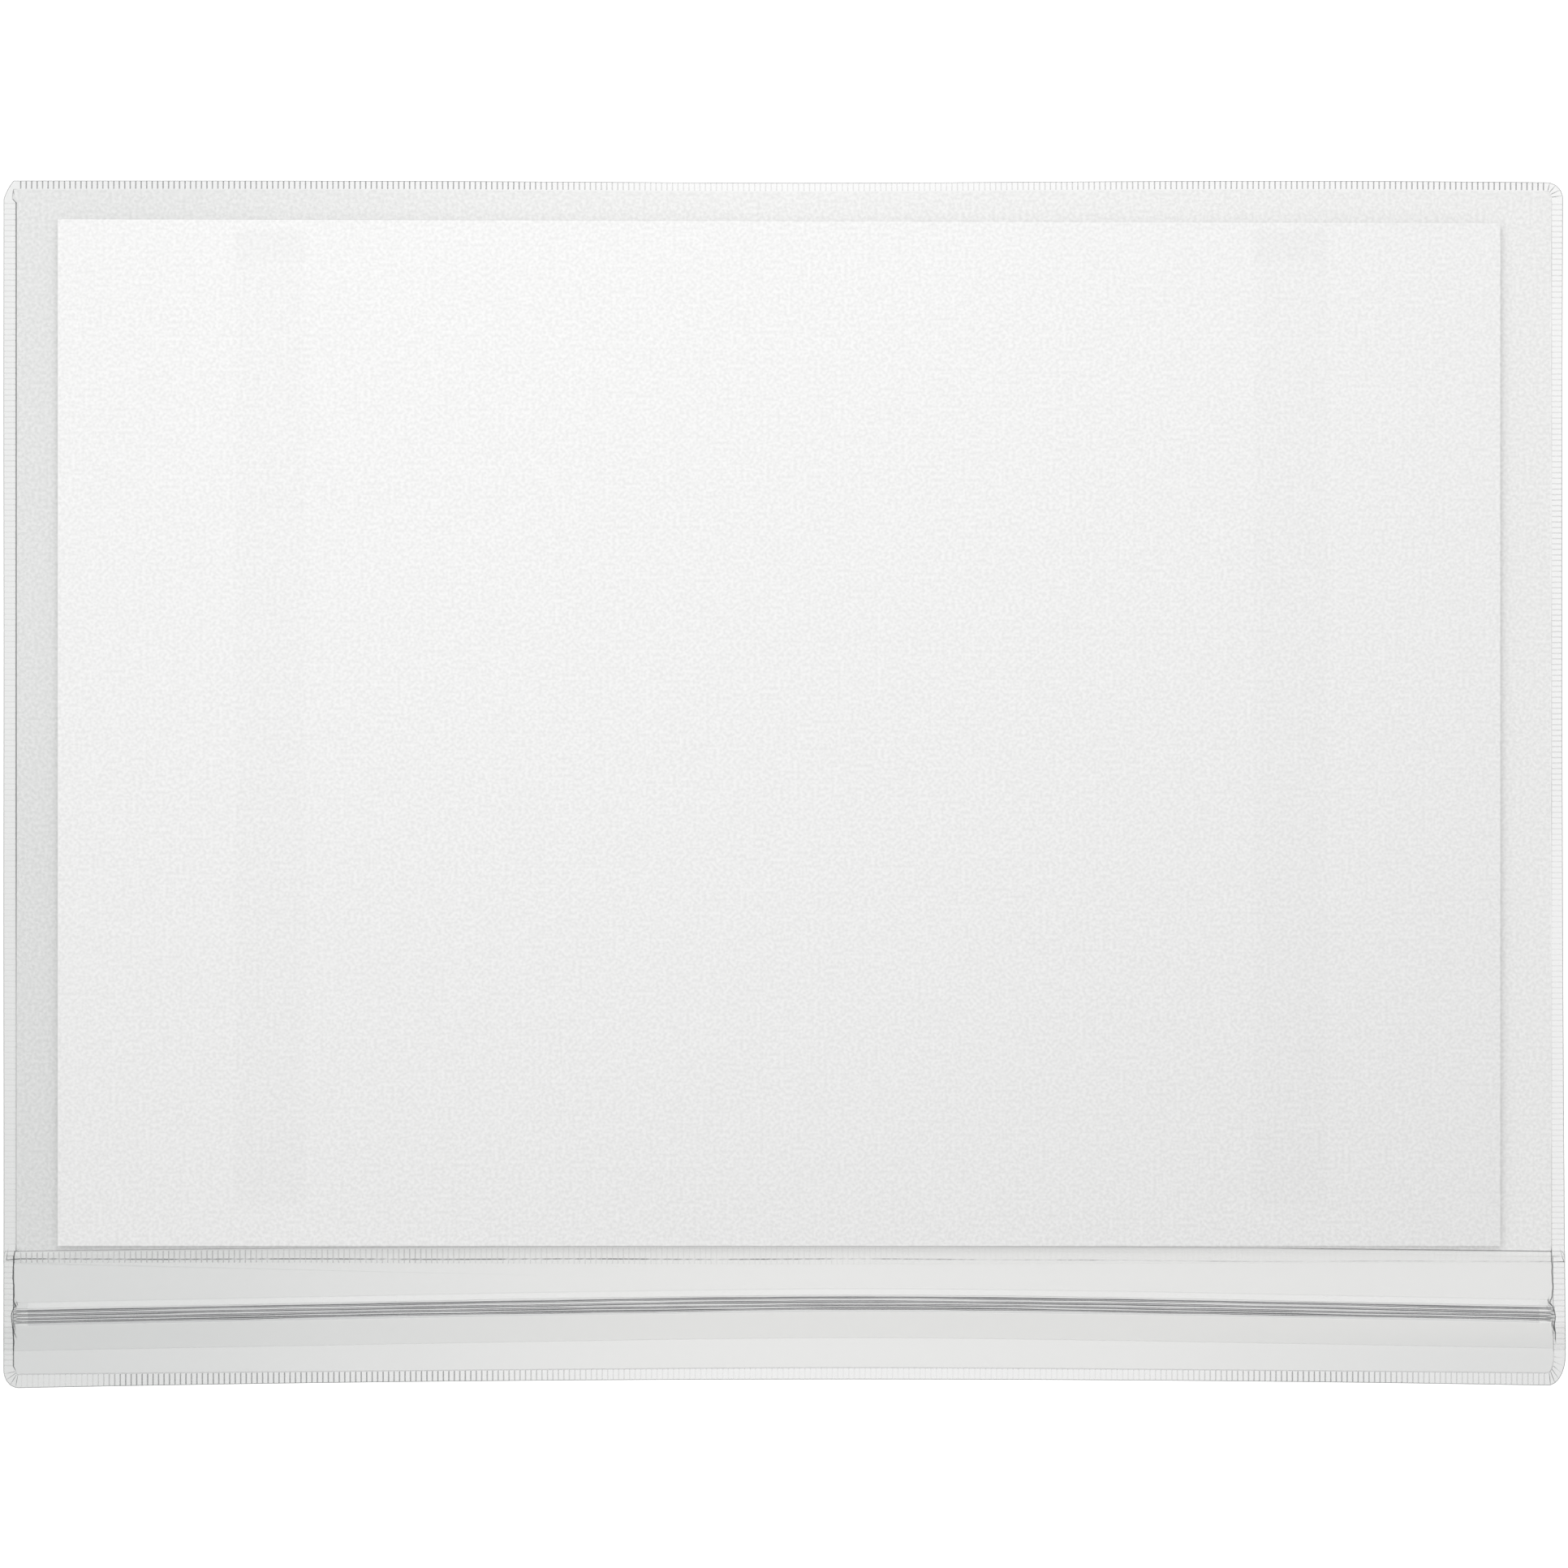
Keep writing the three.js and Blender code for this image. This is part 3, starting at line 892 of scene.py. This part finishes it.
finish_piece(back_film(), "back_film", "clear_film")
finish_piece(front_film(), "front_film", "grained_film")
finish_piece(rear_strip(), "zip_rear_strip", "clear_film")
finish_piece(front_strip(), "zip_front_strip", "clear_film")
inner, outer = RAIL_SPACING / 2, RAIL_SPACING * 1.5
rear_rails = rails("zip_rear_rails", (-outer, outer), REAR_TOP - 0.01, 1)
front_rails = rails("zip_front_rails", (-inner, inner), STRIP_UNDER + LAND_LIFT + 0.01, -1, shelf=1.56)
for piece, node_name in ((rear_rails, "zip_rear_strip"), (front_rails, "zip_front_strip")):
    finish_piece(piece, node_name, "clear_film")
finish_piece(paper_sheet(), "insert_sheet", "white_paper")
strips_and_tape()

# Floor, light and camera: floor and world look white, and light the pocket less than they look

FLOOR_GLOW = 0.53
WORLD_LIGHT = 0.555


def seen_rays(tree):
    """1 on the rays that show a surface, straight, through or off another, and 0 on those that light one."""
    path = node(tree, "ShaderNodeLightPath")
    seen = math_node(tree, "MAXIMUM", path.outputs["Is Camera Ray"], path.outputs["Is Glossy Ray"])
    return math_node(tree, "MAXIMUM", seen, path.outputs["Is Transmission Ray"])


def white_floor():
    size = 4000
    corners = [(-size, -size, 0), (size, -size, 0), (size, size, 0), (-size, size, 0)]
    mat, tree = new_material("floor_white")
    coords = node(tree, "ShaderNodeTexCoord")
    speckle = noise(tree, coords.outputs["Object"], 40, 2)
    colour = colour_mix(tree, speckle, grey(0.7), grey(0.72))
    principled = node(tree, "ShaderNodeBsdfPrincipled")
    tree.links.new(colour, principled.inputs["Base Color"])
    principled.inputs["Roughness"].default_value = 0.9
    principled.inputs["Specular IOR Level"].default_value = 0.1
    glow = node(tree, "ShaderNodeEmission")
    tree.links.new(math_node(tree, "MULTIPLY", seen_rays(tree), FLOOR_GLOW), glow.inputs["Strength"])
    both = node(tree, "ShaderNodeAddShader")
    tree.links.new(principled.outputs[0], both.inputs[0])
    tree.links.new(glow.outputs[0], both.inputs[1])
    out = node(tree, "ShaderNodeOutputMaterial")
    tree.links.new(both.outputs[0], out.inputs["Surface"])
    make_piece("studio_floor", corners, [(0, 1, 2, 3)], mat)


def white_world():
    world = bpy.data.worlds.new("studio")
    bpy.context.scene.world = world
    world.use_nodes = True
    tree = world.node_tree
    tree.nodes.clear()
    back = node(tree, "ShaderNodeBackground")
    back.inputs["Color"].default_value = (*grey(1), 1)
    seen = math_node(tree, "MULTIPLY", seen_rays(tree), 1 - WORLD_LIGHT)
    tree.links.new(math_node(tree, "ADD", seen, WORLD_LIGHT), back.inputs["Strength"])
    out = node(tree, "ShaderNodeOutputWorld")
    tree.links.new(back.outputs[0], out.inputs["Surface"])


def soft_lamp(name, place, aim, size, power):
    data = bpy.data.lights.new(name, "AREA")
    data.shape = "RECTANGLE"
    data.size, data.size_y = size
    data.energy = power
    lamp = bpy.data.objects.new(name, data)
    lamp.location = place
    way = [a - p for a, p in zip(aim, place)]
    flat = math.hypot(way[0], way[1])
    lamp.rotation_euler = (math.atan2(flat, -way[2]), 0, math.atan2(way[0], -way[1]) + math.pi)
    bpy.context.collection.objects.link(lamp)


def camera():
    """Straight above the pocket, with the photograph's width in millimetres in view."""
    photo_pixels, pixels_per_mm = 1932, 6.0
    distance = 1600
    data = bpy.data.cameras.new("main")
    data.sensor_width = 36
    data.lens = data.sensor_width * distance / (photo_pixels / pixels_per_mm)
    data.clip_end = 50
    cam = bpy.data.objects.new("main", data)
    cam.location = (0.08 * MM, 0.0, (distance + 2) * MM)
    bpy.context.collection.objects.link(cam)
    bpy.context.scene.camera = cam


white_floor()
white_world()
soft_lamp("key_above_top", (-0.06, 0.22, 0.5), (0.0, 0.0, 0.0), (0.6, 0.4), 2.03)
camera()
scene = bpy.context.scene
scene.view_settings.view_transform = "Standard"
scene.cycles.transparent_max_bounces = 24
scene.cycles.max_bounces = 4
scene.cycles.diffuse_bounces = 2
scene.cycles.glossy_bounces = 2
